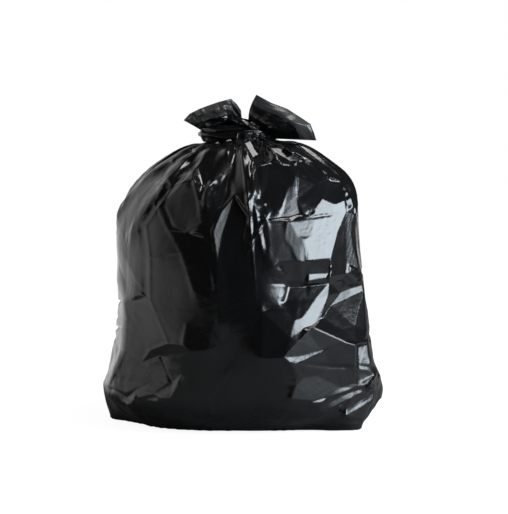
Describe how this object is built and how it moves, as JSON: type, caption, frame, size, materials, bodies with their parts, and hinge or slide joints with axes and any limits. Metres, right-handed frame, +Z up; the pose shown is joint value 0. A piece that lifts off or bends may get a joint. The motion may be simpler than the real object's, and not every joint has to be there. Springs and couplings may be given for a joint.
{
  "type": "filled bin bag",
  "caption": "Filled household refuse sack of thin glossy black film, standing upright and tied shut with its own mouth, with two pleated ends above the knot.",
  "frame": {"origin": "on the floor, under the middle of the sack's overall width and depth", "axes": "+Z up through the knot; the front of the sack faces -Y; its two sealed bottom corners point along -X and +X"},
  "size_m": [0.5216, 0.4446, 0.6005],
  "materials": {
    "film": "gloss"
  },
  "bodies": {
    "root": {"tied_bag": "film"}
  },
  "joints": []
}
